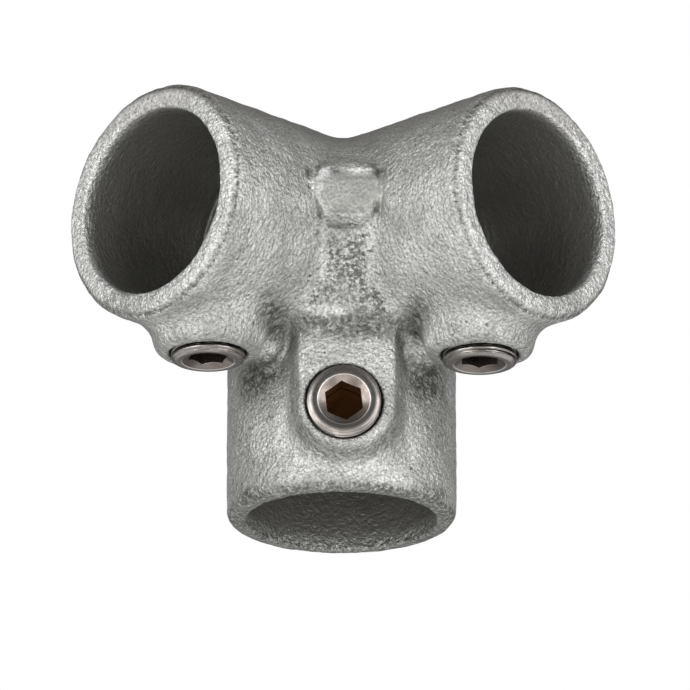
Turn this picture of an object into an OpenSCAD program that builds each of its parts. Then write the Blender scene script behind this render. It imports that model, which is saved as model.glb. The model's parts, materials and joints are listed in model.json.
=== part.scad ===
// Three-way corner clamp for round tube: a galvanised iron casting with a
// socket for an upright post and two sockets for level rails at a right angle.
// Each socket holds its tube with one hollow-hexagon set screw in a boss.
//
// Frame: the origin is the centre of the post socket's mouth, +Z runs up the
// post, and -Y is the open side of the corner, where all three sockets show.

/* [Tube and sockets] */
// Outside diameter of the tube that the fitting takes
tube_d = 42.4; // [33.7:0.1:48.3]
// Slack between a tube and its socket, on the diameter
tube_slack = 1.0; // [0.4:0.1:1.6]
// Length of tube that goes into each socket
socket_depth = 38; // [36:0.5:48]
// Metal left between the inner ends of neighbouring sockets
stop_margin = 2.3; // [1.5:0.1:4]
// Shoulder that stops the tube at the inner end of its socket
stop_shoulder = 4.7; // [2.5:0.1:7]

/* [Casting] */
// Wall of the post socket
post_wall = 4.5; // [3.8:0.1:5.2]
// Wall of a rail socket near the crossing
rail_wall = 5.4; // [4.6:0.1:6.5]
// Extra radius of a rail socket at its mouth
rail_flare = 0.3; // [0.1:0.1:1.5]
// Extra radius of the ball that rounds the back of the corner
corner_swell = 0.3; // [0.2:0.1:1]
// Radius of the rounded outer edge of each mouth
rim_round = 2.7; // [1.5:0.1:3]
// Radius of the rounded inner edge of each mouth
lip_round = 0.7; // [0.3:0.1:0.8]

/* [Screw bosses] */
// Distance from a socket's mouth back to its screw
screw_setback = 18.6; // [17:0.2:22]
// Height of a boss face above the post socket's wall
boss_rise = 5.2; // [4.5:0.1:8]
// How much farther out a rail's boss face lies than the post's
rail_boss_extra = 1.0; // [0.2:0.1:1.6]
// Width of a boss across its face
boss_w = 23.4; // [21.5:0.1:26]
// How far the foot of a boss spreads on each side
boss_spread = 2.8; // [1:0.1:4]
// Distance from the crossing of the tube axes to the top of the post boss
post_boss_top = 24.5; // [20:0.1:27]

/* [Web and pad in the corner] */
// Width of the web at its narrow upper end
web_top_w = 12.2; // [8:0.1:15]
// How far the web's upper end stands out from the crease between the rails
web_rise = 6.2; // [5:0.1:8]
// Drop from the rail axes to the upper end of the web
web_top_drop = 4; // [2:0.1:8]
// How far the foot of the web stands out over the post boss
web_foot_rise = 1.5; // [0.5:0.1:3]
// Width of the six-sided pad across its corners
pad_w = 16.8; // [12:0.1:20]
// Height of the pad's centre above the rail axes
pad_lift = 1.6; // [0.5:0.1:4]
// How far the pad stands out from the crease between the rails
pad_rise = 8.4; // [7:0.1:10]

/* [Set screws] */
// Outside diameter of the screw thread
thread_d = 16.66; // [13:0.01:17.5]
// Gap between a screw and its hole, on each side
thread_gap = 0.15; // [0.1:0.01:0.3]
// Chamfer at the mouth of each screw hole
hole_chamfer = 0.75; // [0.3:0.05:1.2]
// Width of the hexagon socket across its flats
hex_af = 8; // [5:0.1:8.5]
// Depth of the hexagon socket below the screw's outer end
hex_depth = 5.8; // [4.5:0.1:7]
// Diameter of the countersink around the hexagon
sink_d = 11.9; // [10:0.1:12.5]
// Depth of that countersink
sink_depth = 1.1; // [0.3:0.1:1.5]
// Chamfer at each end of the thread
thread_chamfer = 0.9; // [0.4:0.1:1.1]
// How far the nearest screw tip stands back from the tube socket at rest
tip_gap = 0.3; // [0.2:0.05:0.8]
// How far the post screw stands out of its boss at rest
post_screw_proud = 1.4; // [0.4:0.1:1.5]
// How far the left rail's screw stands out of its boss at rest
left_screw_proud = 1.6; // [1.5:0.1:3]
// How far the right rail's screw stands out of its boss at rest
right_screw_proud = 2.0; // [1.5:0.1:3]
// Angle by which the post screw's hexagon is turned from upright
post_hex_turn = 6; // [-30:1:30]
// Angle of the left rail screw's hexagon
left_hex_turn = -13; // [-30:1:30]
// Angle of the right rail screw's hexagon
right_hex_turn = 30; // [-30:1:30]

/* [Hidden] */
$fn = 96;

// A cut runs past the face that it opens by this much
past = 1;

bore_r = (tube_d + tube_slack) / 2;
post_r = bore_r + post_wall;
rail_r = bore_r + rail_wall;
corner_r = max(post_r, rail_r) + corner_swell;
tube_stop = bore_r + stop_margin;
reach = tube_stop + socket_depth;
core_r = bore_r - stop_shoulder;
screw_at = reach - screw_setback;
boss_face = post_r + boss_rise;
rail_boss_face = boss_face + rail_boss_extra;
corner_depth = rail_r * sqrt(2);
hole_r = thread_d / 2 + thread_gap;
screw_len = boss_face + post_screw_proud - tip_gap - bore_r;

// Turns that carry the socket along +X with its boss below to each place
post_turn = [0, 90, 90];
left_turn = [0, 0, 225];
right_turn = [0, 0, -45];

casting_colour = [0.70, 0.70, 0.69];
screw_colour = [0.56, 0.54, 0.51];

module at_socket(turn) {
    translate([0, 0, reach]) rotate(turn) children();
}

// Ball at the crossing of the tube axes, with its poles inside the rails
module corner_ball(r) {
    translate([0, 0, reach]) rotate([0, 90, 0]) sphere(r);
}

// Outer form of a socket along +X, from the crossing to a rounded mouth
module socket_body(root_r, mouth_r) {
    rotate([0, 90, 0]) rotate_extrude() {
        polygon([[0, 0], [root_r, 0], [mouth_r, reach - rim_round], [0, reach - rim_round]]);
        square([mouth_r - rim_round, reach]);
        intersection() {
            translate([mouth_r - rim_round, reach - rim_round]) circle(rim_round);
            square([mouth_r, reach]);
        }
    }
}

// Room for the tube along +X: the bore, its rounded mouth and the core behind it
module socket_bore() {
    rotate([0, 90, 0]) {
        cylinder(h = tube_stop + past, r = core_r);
        translate([0, 0, tube_stop]) cylinder(h = socket_depth + past, r = bore_r);
        rotate_extrude() translate([bore_r, reach - lip_round]) difference() {
            translate([-past, 0]) square([lip_round + past, lip_round + past]);
            translate([lip_round, 0]) circle(lip_round);
        }
    }
}

// Round boss under a socket along +X, with a side that spreads from its face to its foot
module round_boss(face) {
    translate([screw_at, 0, -face])
        cylinder(h = face - bore_r, r1 = boss_w / 2, r2 = boss_w / 2 + boss_spread);
}

// Straight run of a boss from its screw towards the body, with the same spreading sides
module boss_run(inner_x) {
    half_w = boss_w / 2;
    foot_half_w = half_w + boss_spread;
    translate([inner_x, 0, 0]) rotate([90, 0, 90]) linear_extrude(screw_at - inner_x)
        polygon([
            [-half_w, -boss_face], [half_w, -boss_face],
            [foot_half_w, -bore_r], [-foot_half_w, -bore_r]
        ]);
}

// Hole for the set screw, from the bore out through the boss face
module screw_hole(face) {
    translate([screw_at, 0, 0]) {
        translate([0, 0, -face - past]) cylinder(h = face + past, r = hole_r);
        translate([0, 0, -face - past])
            cylinder(h = hole_chamfer + past, r1 = hole_r + hole_chamfer + past, r2 = hole_r);
    }
}

// Web that fills the corner between the rails, narrow above, as wide as the boss below
module corner_web() {
    skin = 0.01;
    foot_out = boss_face + web_foot_rise;
    translate([0, 0, reach]) hull() {
        translate([-web_top_w / 2, -corner_depth - web_rise, -web_top_drop])
            cube([web_top_w, corner_depth, skin]);
        translate([-boss_w / 2, -foot_out, -post_boss_top]) cube([boss_w, foot_out, skin]);
    }
}

// Six-sided pad above the web
module corner_pad() {
    translate([0, -corner_depth - pad_rise, reach + pad_lift]) rotate([-90, 0, 0])
        cylinder(h = corner_depth / 2, r = pad_w / 2, $fn = 6);
}

module corner_casting() {
    color(casting_colour) difference() {
        union() {
            corner_ball(corner_r);
            at_socket(post_turn) {
                socket_body(post_r, post_r);
                round_boss(boss_face);
                boss_run(post_boss_top);
            }
            for (turn = [left_turn, right_turn]) at_socket(turn) {
                socket_body(rail_r, rail_r + rail_flare);
                round_boss(rail_boss_face);
            }
            corner_web();
            corner_pad();
        }
        for (turn = [post_turn, left_turn, right_turn]) at_socket(turn) {
            socket_bore();
            screw_hole(turn == post_turn ? boss_face : rail_boss_face);
        }
        corner_ball(core_r + corner_swell);
    }
}

// Set screw with its tip up and its countersunk hexagon socket in the lower end
module set_screw(face, proud, hex_turn) {
    r = thread_d / 2;
    hex_r = hex_af / 2 / cos(30);
    translate([screw_at, 0, -face - proud]) difference() {
        rotate_extrude() polygon([
            [0, 0], [r - thread_chamfer, 0], [r, thread_chamfer],
            [r, screw_len - thread_chamfer], [r - thread_chamfer, screw_len], [0, screw_len]
        ]);
        rotate([0, 0, hex_turn]) translate([0, 0, -past])
            cylinder(h = past + hex_depth, r = hex_r, $fn = 6);
        sink_slope = (sink_d - hex_af) / 2 / sink_depth;
        translate([0, 0, -past])
            cylinder(h = past + sink_depth, r1 = sink_d / 2 + past * sink_slope, r2 = hex_af / 2);
    }
}

module post_screw() {
    color(screw_colour) at_socket(post_turn) set_screw(boss_face, post_screw_proud, post_hex_turn);
}

module left_rail_screw() {
    color(screw_colour) at_socket(left_turn)
        set_screw(rail_boss_face, left_screw_proud, left_hex_turn - left_turn.z);
}

module right_rail_screw() {
    color(screw_colour) at_socket(right_turn)
        set_screw(rail_boss_face, right_screw_proud, right_hex_turn - right_turn.z);
}

corner_casting();
post_screw();
left_rail_screw();
right_rail_screw();
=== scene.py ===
"""Looks of a three-way corner clamp for round tube.

The fitting is one galvanised iron casting with three hollow-hexagon set screws. The casting's
skin is a surface of equal distance: each of its forms is a distance function, and the forms are
joined with round fillets. The screws are profiles carried round their axes. Lengths inside the
classes are millimetres in the part's own frame, and meshes are written in metres.
"""

import json
import logging
import math
from dataclasses import dataclass, field
from enum import Enum
from functools import cached_property
from typing import ClassVar

import bpy
import numpy as np
from mathutils import Matrix, Vector


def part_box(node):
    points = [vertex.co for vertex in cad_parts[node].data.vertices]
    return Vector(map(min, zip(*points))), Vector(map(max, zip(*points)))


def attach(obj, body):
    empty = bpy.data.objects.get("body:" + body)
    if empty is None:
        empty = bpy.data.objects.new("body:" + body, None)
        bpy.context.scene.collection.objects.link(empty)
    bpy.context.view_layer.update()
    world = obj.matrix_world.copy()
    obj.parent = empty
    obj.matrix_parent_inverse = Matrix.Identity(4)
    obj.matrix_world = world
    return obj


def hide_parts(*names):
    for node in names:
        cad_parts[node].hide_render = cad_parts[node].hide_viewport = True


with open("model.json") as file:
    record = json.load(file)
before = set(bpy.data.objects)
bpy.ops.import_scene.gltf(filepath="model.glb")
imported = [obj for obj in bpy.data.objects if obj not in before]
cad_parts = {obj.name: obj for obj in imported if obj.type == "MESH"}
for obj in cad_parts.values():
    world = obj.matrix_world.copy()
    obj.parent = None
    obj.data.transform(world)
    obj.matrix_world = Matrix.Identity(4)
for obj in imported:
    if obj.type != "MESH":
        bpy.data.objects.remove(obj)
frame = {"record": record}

Array = np.ndarray
Colour = tuple[float, float, float, float]
Span = tuple[float, ...]
Output = bpy.types.NodeSocket
LOG = logging.getLogger("corner_clamp")
MM = 0.001
HALF_ROOT = math.sqrt(0.5)


class Station(Enum):
    """The three tube sockets, by the word that starts their names in the record."""

    POST = "post"
    LEFT_RAIL = "left_rail"
    RIGHT_RAIL = "right_rail"

    @property
    def mount(self) -> str:
        """Name of the socket's mount."""
        return f"{self.value}_socket"

    @property
    def screw(self) -> str:
        """Name of the socket's set screw, which is its node and its body."""
        return f"{self.value}_screw"


RAILS = (Station.LEFT_RAIL, Station.RIGHT_RAIL)


class Slot(Enum):
    """The record's material slots."""

    CASTING = "galvanised_casting"
    SCREW = "screw_steel"


@dataclass(frozen=True)
class Socket:
    """Directions of one tube socket, as unit vectors from the crossing of the tube axes.

    Attributes:
        way: direction in which the tube leaves the socket.
        side: direction from the tube axis to the screw's boss.
    """

    way: Array
    side: Array

    @property
    def across(self) -> Array:
        """Direction square to the tube and to its screw."""
        return np.cross(self.way, self.side)

    def local(self, points: Array) -> Array:
        """Coordinates of points along the tube, across it and out towards the boss, as three rows."""
        return np.stack([self.way, self.across, self.side]).astype(points.dtype) @ points.T


def round_join(a: Array, b: Array, radius: Array | float) -> Array:
    """Union of two distance fields with a round fillet.

    Where both distances are under the radius, the result is the distance to a circle of that
    radius that touches both walls, and elsewhere it is the smaller of the two.

    Args:
        a: distances to one form.
        b: distances to the other form.
        radius: radius of the fillet.

    Returns:
        Distances to the joined form.
    """
    bend = np.hypot(np.maximum(radius - a, 0), np.maximum(radius - b, 0))
    return np.maximum(radius, np.minimum(a, b)) - bend


def round_meet(a: Array, b: Array, radius: float) -> Array:
    """Common part of two distance fields, with an edge rounded to a radius."""
    return -round_join(-a, -b, radius)


def fillet_share(cosine: Array) -> Array:
    """Share of a right-angled fillet's radius that fits walls at a flatter angle.

    A circle that touches two walls rises above their crease by one over the cosine of half the
    angle between the walls' normals, less one. The share brings round_join to that rise.

    Args:
        cosine: cosine of the angle between the two walls' normals.

    Returns:
        Shares from nearly nothing on walls in line to 1 on walls at a right angle.
    """
    least = 0.02
    half = np.sqrt((1 + np.clip(cosine, 0, 1)) / 2)
    return np.maximum((1 - half) / (1 - HALF_ROOT), least)


def ramp(value: Array, low: float, high: float) -> Array:
    """Smooth step from 0 at low to 1 at high, which may be the smaller of the two."""
    share = np.clip((value - low) / (high - low), 0, 1)
    return share * share * (3 - 2 * share)


class LumpField:
    """Smooth random lumps in space.

    Each corner of a cubic lattice holds a random slope. A point's height is the sum of its
    eight corners' slopes times its offset from them, weighted by a fifth-degree blend.
    """

    SIZE = 64
    GAIN = 1.6

    def __init__(self, seed: int) -> None:
        """Draws the lattice's slopes from a seed, so that each run gives the same lumps."""
        slopes = np.random.default_rng(seed).normal(size=(self.SIZE,) * 3 + (3,))
        self.slopes = (slopes / np.linalg.norm(slopes, axis=-1, keepdims=True)).astype(np.float32)

    def heights(self, points: Array, wavelength: float) -> Array:
        """Heights of the lumps at some points.

        Args:
            points: places, one row each.
            wavelength: distance between the lattice's corners.

        Returns:
            One height for each point, roughly between -1 and 1.
        """
        scaled = points / wavelength
        base = np.floor(scaled).astype(np.int64)
        offset = (scaled - base).astype(np.float32)
        blend = offset**3 * (offset * (offset * 6 - 15) + 10)
        total = np.zeros(len(points), np.float32)
        for corner in np.ndindex(2, 2, 2):
            cell = tuple(((base + corner) % self.SIZE).T)
            weight = np.where(corner, blend, 1 - blend).prod(axis=1)
            total += weight * (self.slopes[cell] * (offset - corner)).sum(axis=1)
        return total * self.GAIN


@dataclass(frozen=True)
class GridSkin:
    """Points and four-sided faces of a surface found in a grid of distances."""

    points: Array
    faces: Array

    @classmethod
    def from_grid(cls, values: Array, origin: Array, step: float) -> "GridSkin":
        """Wraps a skin round the part of a grid where the distance is negative.

        Each cell that the surface passes through gets one point, the mean of the places where
        the cell's edges cross zero. Each grid edge that crosses zero gets one face, between the
        four cells round it.

        Args:
            values: distances at the grid's corners.
            origin: place of the first corner.
            step: distance between corners.

        Returns:
            The skin, with its faces turned outwards.
        """
        corners = np.array(list(np.ndindex(2, 2, 2)))
        spans = [[slice(c, c + n - 1) for c, n in zip(corner, values.shape)] for corner in corners]
        filled = sum((values[tuple(s)] < 0).astype(np.int8) for s in spans)
        mixed = (filled > 0) & (filled < len(corners))
        cells = np.argwhere(mixed)
        number = np.full(mixed.shape, -1, np.int32)
        number[mixed] = np.arange(len(cells))
        held = np.stack([values[tuple(s)][mixed] for s in spans], axis=1)
        total = np.zeros((len(cells), 3), np.float32)
        hits = np.zeros(len(cells), np.float32)
        for a, b in np.argwhere(np.abs(corners[:, None] - corners[None]).sum(-1) == 1):
            if a < b:
                crosses = (held[:, a] < 0) != (held[:, b] < 0)
                span = np.where(crosses, held[:, a] - held[:, b], 1)
                share = np.where(crosses, held[:, a] / span, 0)[:, None]
                total += crosses[:, None] * (corners[a] + share * (corners[b] - corners[a]))
                hits += crosses
        points = origin + step * (cells + total / hits[:, None])
        faces = [cls._faces_across(values < 0, number, axis) for axis in range(3)]
        return cls(points.astype(np.float32), np.concatenate(faces))

    @staticmethod
    def _faces_across(inside: Array, number: Array, axis: int) -> Array:
        """Faces round the grid edges that run along one axis and cross the surface.

        Args:
            inside: whether each of the grid's corners lies inside.
            number: number of each cell's point.
            axis: axis of the grid edges.

        Returns:
            Four point numbers for each face.
        """
        count = inside.shape[axis]
        lower = np.take(inside, range(count - 1), axis)
        upper = np.take(inside, range(1, count), axis)
        edges = np.argwhere(lower != upper)
        u, v = np.eye(3, dtype=int)[[(axis + 1) % 3, (axis + 2) % 3]]
        ring = (0 * u, -u, -u - v, -v)
        faces = np.stack([number[tuple((edges + shift).T)] for shift in ring], axis=1)
        leaves = lower[tuple(edges.T)]
        return np.where(leaves[:, None], faces, faces[:, ::-1])


def mesh_object(name: str, points_mm: Array, *polygons: Array) -> bpy.types.Object:
    """Makes a smooth-shaded mesh object, placed by its points.

    Args:
        name: name of the object and its mesh.
        points_mm: points in millimetres, one row each.
        polygons: arrays of point numbers, each with faces of one size.

    Returns:
        The object, linked to the scene.
    """
    mesh = bpy.data.meshes.new(name)
    loops = np.concatenate([faces.ravel() for faces in polygons])
    totals = np.concatenate([np.full(len(faces), faces.shape[1]) for faces in polygons])
    starts = np.concatenate([[0], np.cumsum(totals)[:-1]])
    mesh.vertices.add(len(points_mm))
    mesh.vertices.foreach_set("co", (points_mm * MM).astype(np.float32).ravel())
    mesh.loops.add(len(loops))
    mesh.loops.foreach_set("vertex_index", loops.astype(np.int32))
    mesh.polygons.add(len(totals))
    mesh.polygons.foreach_set("loop_start", starts.astype(np.int32))
    mesh.polygons.foreach_set("use_smooth", np.ones(len(totals), bool))
    mesh.update(calc_edges=True)
    mesh.validate()
    piece = bpy.data.objects.new(name, mesh)
    bpy.context.scene.collection.objects.link(piece)
    return piece


def ring_faces(rings: int, spokes: int) -> tuple[Array, Array, Array]:
    """Faces between rings of points that follow each other, each ring closed on itself.

    Args:
        rings: number of rings.
        spokes: number of points in a ring.

    Returns:
        The four-sided faces, each point's number and the number of the next point in its ring.
    """
    index = np.arange(rings * spokes).reshape(rings, spokes)
    after = np.roll(index, -1, axis=1)
    faces = np.stack([index[:-1], index[1:], after[1:], after[:-1]], axis=-1).reshape(-1, 4)
    return faces, index, after


def mesh_points(piece: bpy.types.Object) -> Array:
    """Points of a mesh.

    Args:
        piece: the mesh object.

    Returns:
        Points in millimetres, one row each.
    """
    points = np.empty(len(piece.data.vertices) * 3, np.float32)
    piece.data.vertices.foreach_get("co", points)
    return points.reshape(-1, 3) / MM


def paint(piece: bpy.types.Object, name: str, *channels: Array) -> None:
    """Stores three values per point as a colour attribute of a mesh.

    Args:
        piece: the mesh object.
        name: name of the attribute.
        channels: values from 0 to 1, one array for each channel.
    """
    colours = np.ones((len(piece.data.vertices), 4), np.float32)
    colours[:, :3] = np.stack(channels, axis=1)
    layer = piece.data.attributes.new(name, "FLOAT_COLOR", "POINT")
    layer.data.foreach_set("color", colours.ravel())


def thin(piece: bpy.types.Object, triangles: int) -> None:
    """Brings a mesh down to a number of triangles, taking most from its plain stretches.

    Args:
        piece: the mesh object.
        triangles: number of triangles to keep.
    """
    dense = piece.data
    count = len(dense.loops) - 2 * len(dense.polygons)
    modifier = piece.modifiers.new("thin", "DECIMATE")
    modifier.ratio = min(1.0, triangles / count)
    graph = bpy.context.evaluated_depsgraph_get()
    piece.data = bpy.data.meshes.new_from_object(piece.evaluated_get(graph))
    piece.modifiers.clear()
    bpy.data.meshes.remove(dense)
    piece.data.name = piece.name


@dataclass(frozen=True)
class Oval:
    """A soft oval on the casting's open side, seen square on.

    Attributes:
        x: place of its centre to the right of the post axis.
        z: place of its centre above the rail axes.
        half_w: half its width.
        half_h: half its height.
        weight: its share in the middle.
    """

    SOFT: ClassVar[Span] = (1.5, 0.2)
    FRONT: ClassVar[Span] = (-8, -14)
    x: float
    z: float
    half_w: float
    half_h: float
    weight: float = 1.0

    def share(self, points: Array) -> Array:
        """How far each place lies inside the oval, from 0 to 1, on the open side alone.

        Args:
            points: places relative to the crossing.

        Returns:
            One share for each place.
        """
        x, y, z = points.T
        out = np.hypot((x - self.x) / self.half_w, (z - self.z) / self.half_h)
        return self.weight * ramp(out, *self.SOFT) * ramp(y, *self.FRONT)


def ovals(*rows: tuple[float, ...]) -> tuple[Oval, ...]:
    """Ovals from rows of their numbers."""
    return tuple(Oval(*row) for row in rows)


@dataclass
class CornerCasting:
    """The galvanised casting: three sockets, three bosses, a web and a pad.

    Attributes:
        sockets: the three sockets' directions.
        reach: distance from the crossing of the tube axes to each mouth.
        bore_r: radius of the tube bores.
        tube_stop: distance from the crossing to the inner end of each bore.
        screw_at: distance from the crossing to each screw's axis.
    """

    sockets: dict[Station, Socket]
    reach: float
    bore_r: float
    tube_stop: float
    screw_at: float
    # Walls, mouths and the hollow core
    post_wall: float = 4.5
    rail_wall: float = 5.4
    rail_flare: float = 0.3
    corner_swell: float = 0.3
    swell_blend: float = 1.2
    rim_round: float = 2.7
    lip_round: float = 0.7
    stop_shoulder: float = 4.7
    rim_line_r: float = 0.55
    rim_line_depth: float = 0.4
    # Bosses and screw holes
    boss_rise: float = 5.2
    rail_boss_extra: float = 1.0
    boss_w: float = 23.4
    boss_spread: float = 2.8
    rail_boss_edge: float = 2.2
    post_boss_edge: float = 1.5
    post_boss_trim: float = 1.1
    post_boss_shift: float = 0.7
    post_boss_top: float = 24.5
    boss_lap: float = 2.0
    hole_r: float = 8.48
    hole_chamfer: float = 0.75
    hole_edge: float = 0.3
    # Web and pad
    web_shift: float = 0.7
    web_top_w: float = 12.2
    web_rise: float = 6.4
    web_top_drop: float = 4.0
    web_lap: float = 3.0
    web_foot_rise: float = 1.5
    web_edge: float = 1.3
    web_foot_edge: float = 1.0
    web_dish: float = 0.55
    web_ridge: float = 1.7
    pad_shift: float = 0.7
    pad_corner: float = 8.2
    pad_half_h: float = 5.8
    pad_top_half: float = 5.0
    pad_lift: float = 1.6
    pad_facet: tuple[float, float] = (-5.0, 3.2)
    pad_facet_turn: float = 67.0
    pad_facet_tilt: float = 29.0
    pad_bevel: float = 3.0
    pad_bevel_tilt: float = 24.0
    pad_rise: float = 8.6
    pad_draft: float = 36.0
    pad_flank: float = 2.8
    pad_edge: float = 0.5
    pad_outline_round: float = 1.2
    # Fillets
    saddle_fillet: float = 8.0
    throat_fillet: float = 4.0
    boss_fillet: float = 2.6
    web_fillet: float = 2.2
    overhang_fillet: float = 3.2
    pad_fillet: float = 0.7
    # Cast lumps beside the post's boss: centre from the crossing, and radius
    knobs: tuple[tuple[float, float, float, float], ...] = (
        (-16.4, -23.6, -25.8, 3.8), (-17.6, -21.8, -28.2, 3.6),
        (15.4, -23.8, -25.8, 3.6), (17.6, -21.8, -28.8, 3.8),
    )
    knob_fillet: float = 2.4
    # Painted shade, broken into dirt specks, on the open side: over the post's boss, beside it, round the
    # pad and at the rims
    dirty: tuple[Oval, ...] = ovals(
        (0.6, -25.9, 13.0, 3.2), (6.6, -25.8, 6.5, 3.2), (-7.5, -25.4, 5.0, 2.4, 0.9),
        (-18.9, -33.6, 6.6, 5.4), (18.9, -34.4, 6.4, 6.2),
        (-16.2, -24.4, 3.6, 4.2), (16.6, -25.0, 3.4, 4.2),
        (-1.0, -6.0, 4.2, 0.45, 0.8), (7.2, -2.6, 1.3, 2.0),
        (-5.7, -3.6, 0.7, 1.6), (-6.0, -7.2, 0.8, 3.0),
        (-8.1, 5.9, 1.2, 1.7), (7.8, 6.2, 1.7, 1.6), (-2.6, 6.7, 1.6, 0.7), (3.7, 4.3, 0.5, 0.5),
        (-21.5, -60.6, 4.6, 1.9), (22.5, -60.2, 3.6, 2.2),
        (0.9, -54.0, 9.0, 2.4, 0.5), (23.2, -41.0, 5.4, 10.0, 0.55),
        (-50.0, -22.5, 9.0, 4.0, 0.6), (50.5, -22.5, 9.0, 4.0, 0.4),
    )
    # Painted highlights: on the pad, along the web's ridges and the boss's edges, and on the knobs
    bright: tuple[Oval, ...] = ovals(
        (-3.0, -22.6, 4.2, 1.2, 0.8), (-5.0, 6.1, 2.1, 1.9), (-6.6, 3.7, 1.8, 2.5),
        (3.0, 6.3, 3.2, 1.2, 0.9), (-4.9, -12.0, 0.9, 6.0, 0.4), (5.7, -12.0, 0.8, 6.0, 0.4),
        (-9.8, -34.0, 0.8, 5.5, 0.5), (11.0, -34.0, 0.7, 5.5, 0.35),
        (-14.0, -45.7, 1.8, 7.0, 0.45), (-10.6, -57.0, 4.6, 3.4, 0.32),
        (16.0, -48.6, 2.0, 7.5, 0.3), (9.5, -58.4, 6.4, 2.6, 0.25),
        (-16.8, -29.4, 3.2, 1.7, 0.75), (17.2, -29.9, 3.6, 1.8, 0.65),
        (-16.5, 2.0, 9.0, 13.0, 0.12), (19.0, 1.0, 9.0, 13.0, 0.15), (21.0, -16.0, 9.0, 7.0, 0.2),
    )
    # Surface
    grid_step: float = 0.5
    slope_step: float = 0.04
    settle_steps: int = 2
    triangles: int = 195_000
    lump_seed: int = 11
    long_lump: float = 5.5
    short_lump: float = 2.0
    long_lump_h: float = 0.16
    short_lump_h: float = 0.09
    bore_calm: float = 0.6
    hollow_gaps: tuple[float, float] = (1.5, 5.0)
    # Height band above the crossing where the top turns calm and darker, as painted shade
    calm_top: Span = (14.0, 24.0)
    piece: bpy.types.Object | None = field(default=None, repr=False)

    @classmethod
    def from_frame(cls, record: dict) -> "CornerCasting":
        """Reads the sockets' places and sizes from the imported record.

        Args:
            record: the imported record.

        Returns:
            A casting that fits the frame.
        """
        mounts = {m["name"]: m for m in record["mounts"]}
        joints = {j["child"]: j for j in record["behaviour"]["joints"]}
        sockets = {
            s: Socket(np.array(mounts[s.mount]["axis"], float), -np.array(joints[s.screw]["axis"], float))
            for s in Station
        }
        rail = mounts[Station.LEFT_RAIL.mount]
        reach = rail["pos_m"][2] / MM
        inner_end = np.hypot(*rail["pos_m"][:2]) / MM - rail["dims"]["length_mm"]
        low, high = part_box(Station.POST.screw)
        screw_at = reach - (low.z + high.z) / 2 / MM
        return cls(sockets, reach, rail["dims"]["r_mm"], inner_end, screw_at)

    @property
    def crossing(self) -> Array:
        """Place where the tube axes cross."""
        return np.array([0, 0, self.reach], np.float32)

    @property
    def crease(self) -> float:
        """Distance from the post axis to the crease between the rails, at their axes' height."""
        return (self.bore_r + self.rail_wall) * math.sqrt(2)

    def outer_r(self, station: Station) -> float:
        """Outer radius of a socket at the crossing."""
        return self.bore_r + (self.rail_wall if station in RAILS else self.post_wall)

    def boss_face(self, station: Station) -> float:
        """Distance from a socket's tube axis to the face of its own boss."""
        extra = self.rail_boss_extra if station in RAILS else 0.0
        return self.outer_r(Station.POST) + self.boss_rise + extra

    def distance(self, places: Array) -> Array:
        """Distance to the casting, negative inside its metal, at places in the part's frame."""
        return CastingField(self, places).solid()

    def slope(self, places: Array) -> Array:
        """Direction in which the distance grows, from four samples at a tetrahedron's corners.

        Args:
            places: places in the part's frame.

        Returns:
            One unit vector for each place.
        """
        corners = np.array([[1, -1, -1], [-1, -1, 1], [-1, 1, -1], [1, 1, 1]], np.float32)
        total = sum(c * self.distance(places + self.slope_step * c)[:, None] for c in corners)
        return total / np.maximum(np.linalg.norm(total, axis=1, keepdims=True), 1e-9)

    def skin(self) -> GridSkin:
        """Finds the casting's surface and settles its points on it.

        Returns:
            The surface without its lumps.
        """
        low, high = (np.array(v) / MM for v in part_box("corner_casting"))
        margin = 2 * self.grid_step
        axes = [np.arange(a - margin, b + 2 * margin, self.grid_step) for a, b in zip(low, high)]
        values = np.empty([len(a) for a in axes], np.float32)
        level = np.stack(np.meshgrid([0.0], *axes[1:], indexing="ij"), axis=-1).reshape(-1, 3)
        for index, x in enumerate(axes[0]):
            layer = level.astype(np.float32)
            layer[:, 0] = x
            values[index] = self.distance(layer).reshape(values.shape[1:])
        skin = GridSkin.from_grid(values, np.array([a[0] for a in axes]), self.grid_step)
        points = skin.points
        for _ in range(self.settle_steps):
            move = np.clip(self.distance(points), -self.grid_step / 2, self.grid_step / 2)
            points = points - move[:, None] * self.slope(points)
        return GridSkin(points, skin.faces)

    def lump_rise(self, places: Array) -> Array:
        """Height of the cast lumps over the plain form, less the line round each rail's rim.

        Two sizes of lump are added. They lie lower in the bores and leave the screw holes plain.

        Args:
            places: places on the plain form, in the part's frame.

        Returns:
            One height for each place.
        """
        lumps, at = LumpField(self.lump_seed), CastingField(self, places)
        rise = self.long_lump_h * lumps.heights(places, self.long_lump)
        rise += self.short_lump_h * lumps.heights(places + self.long_lump, self.short_lump)
        rise *= (1 - self.bore_calm * at.hidden()) * (1 - at.holes())
        return rise - self.rim_line_depth * ramp(at.rim_line(), 2 * self.rim_line_r, 0)

    def build(self) -> bpy.types.Object:
        """Builds the casting's mesh with its lumps and its painted values.

        Returns:
            The finished piece.
        """
        skin = self.skin()
        lumpy = skin.points + self.lump_rise(skin.points)[:, None] * self.slope(skin.points)
        piece = mesh_object("galvanised_corner_casting", lumpy, skin.faces)
        thin(piece, self.triangles)
        points = mesh_points(piece)
        normals = self.slope(points)
        # Painted shade in hollows: how much of a short and a long step out from the surface lies inside the
        # metal
        near, wide = (
            np.clip(1 - self.distance(points + gap * normals) / gap, 0, 1) for gap in self.hollow_gaps
        )
        at = CastingField(self, points)
        # The third channel is the screw holes' gaps, which the finish paints black as painted shadow
        paint(piece, "hollows", near, wide, at.holes())
        # Places: dark pits; the bores' insides, painted darker as painted shade; and the top, painted darker
        # as painted shade where the bump is calmed
        paint(piece, "places", at.pits(), at.hidden(), ramp(at.points[:, 2], *self.calm_top))
        paint(piece, "flow", *at.socket_shares())
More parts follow.
